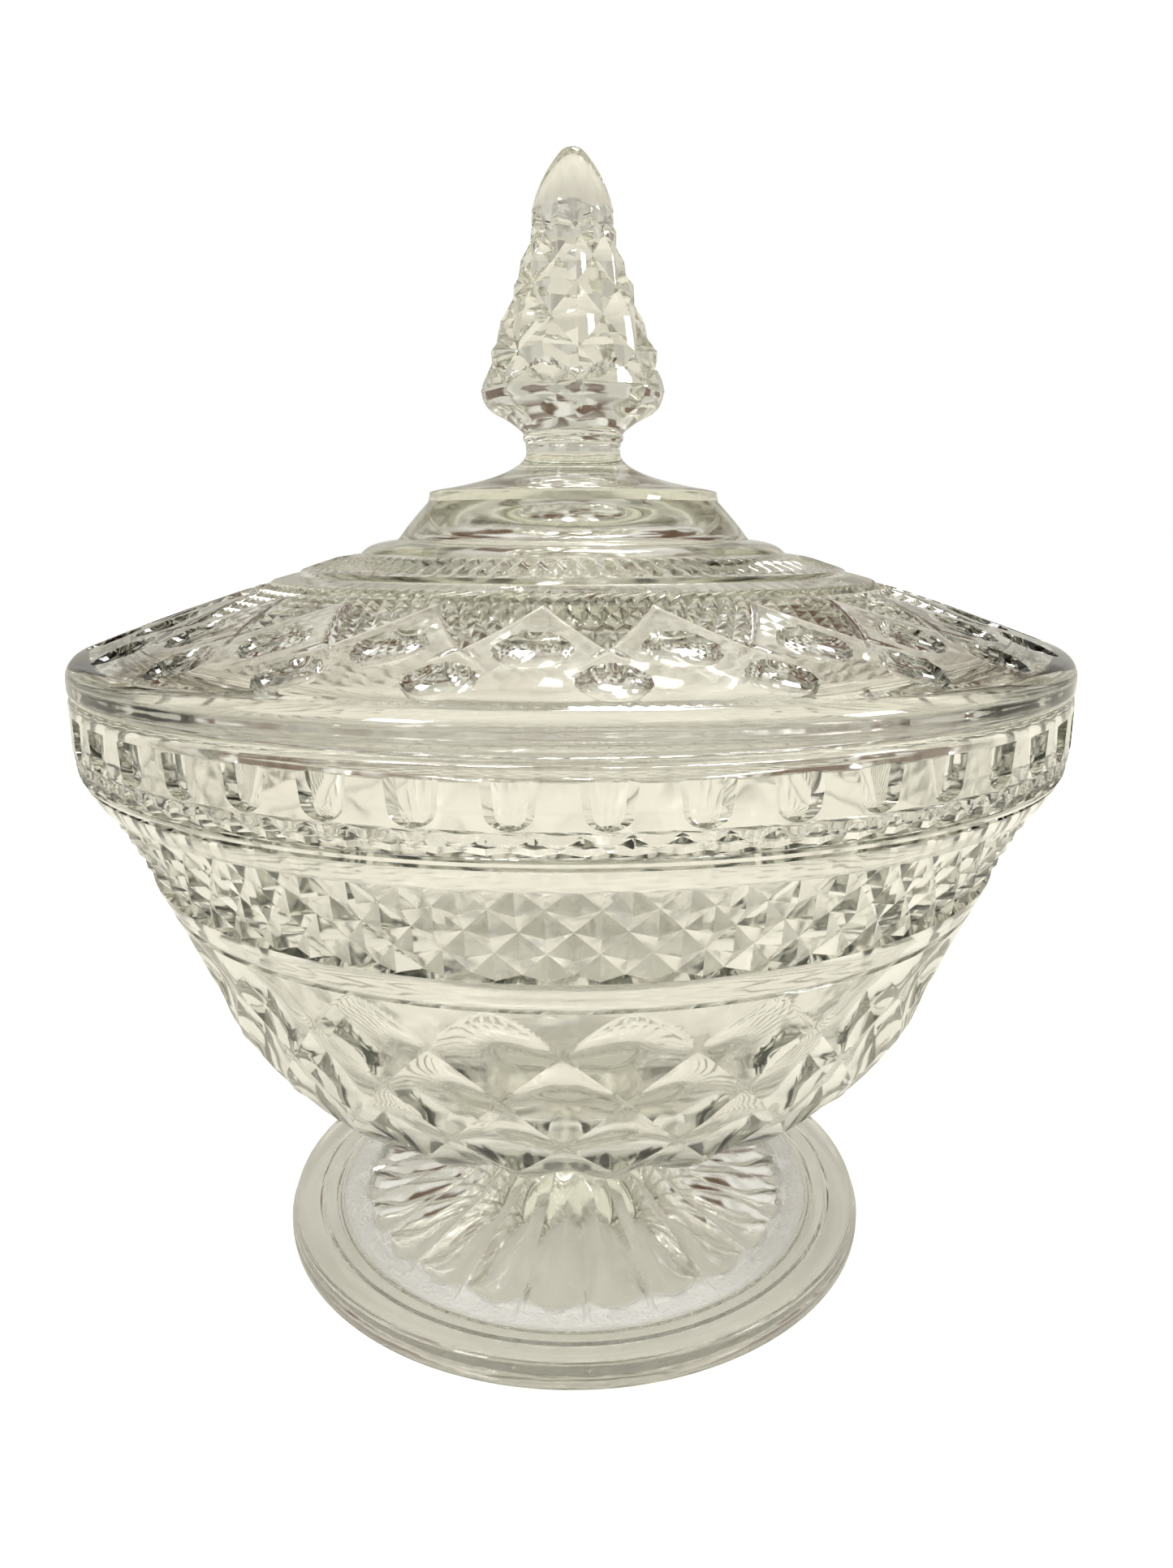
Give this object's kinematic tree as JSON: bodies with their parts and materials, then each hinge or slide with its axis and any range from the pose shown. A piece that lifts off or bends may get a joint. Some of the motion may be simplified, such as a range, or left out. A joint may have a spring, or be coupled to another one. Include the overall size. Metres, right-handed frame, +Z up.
{
  "type": "footed covered glass jar",
  "caption": "Footed bowl of clear pressed glass with a loose domed lid that lifts off by a pointed, diamond-cut finial.",
  "frame": {"origin": "centre of the foot's resting face, on the surface the jar stands on", "axes": "+Z up along the axis of the bowl, the lid and the finial; the jar is round, so +X and +Y are equal"},
  "size_m": [0.152, 0.152, 0.173],
  "materials": {
    "glass": "clear pressed glass with a faint warm grey-green cast, polished by the mould, sharp-edged relief"
  },
  "bodies": {
    "bowl": {"bowl": "glass"},
    "lid": {"lid": "glass"}
  },
  "joints": [
    {"name": "lid_lift", "type": "slide", "parent": "bowl", "child": "lid", "axis": [0, 0, 1], "range_m": [0, 0.12]}
  ]
}
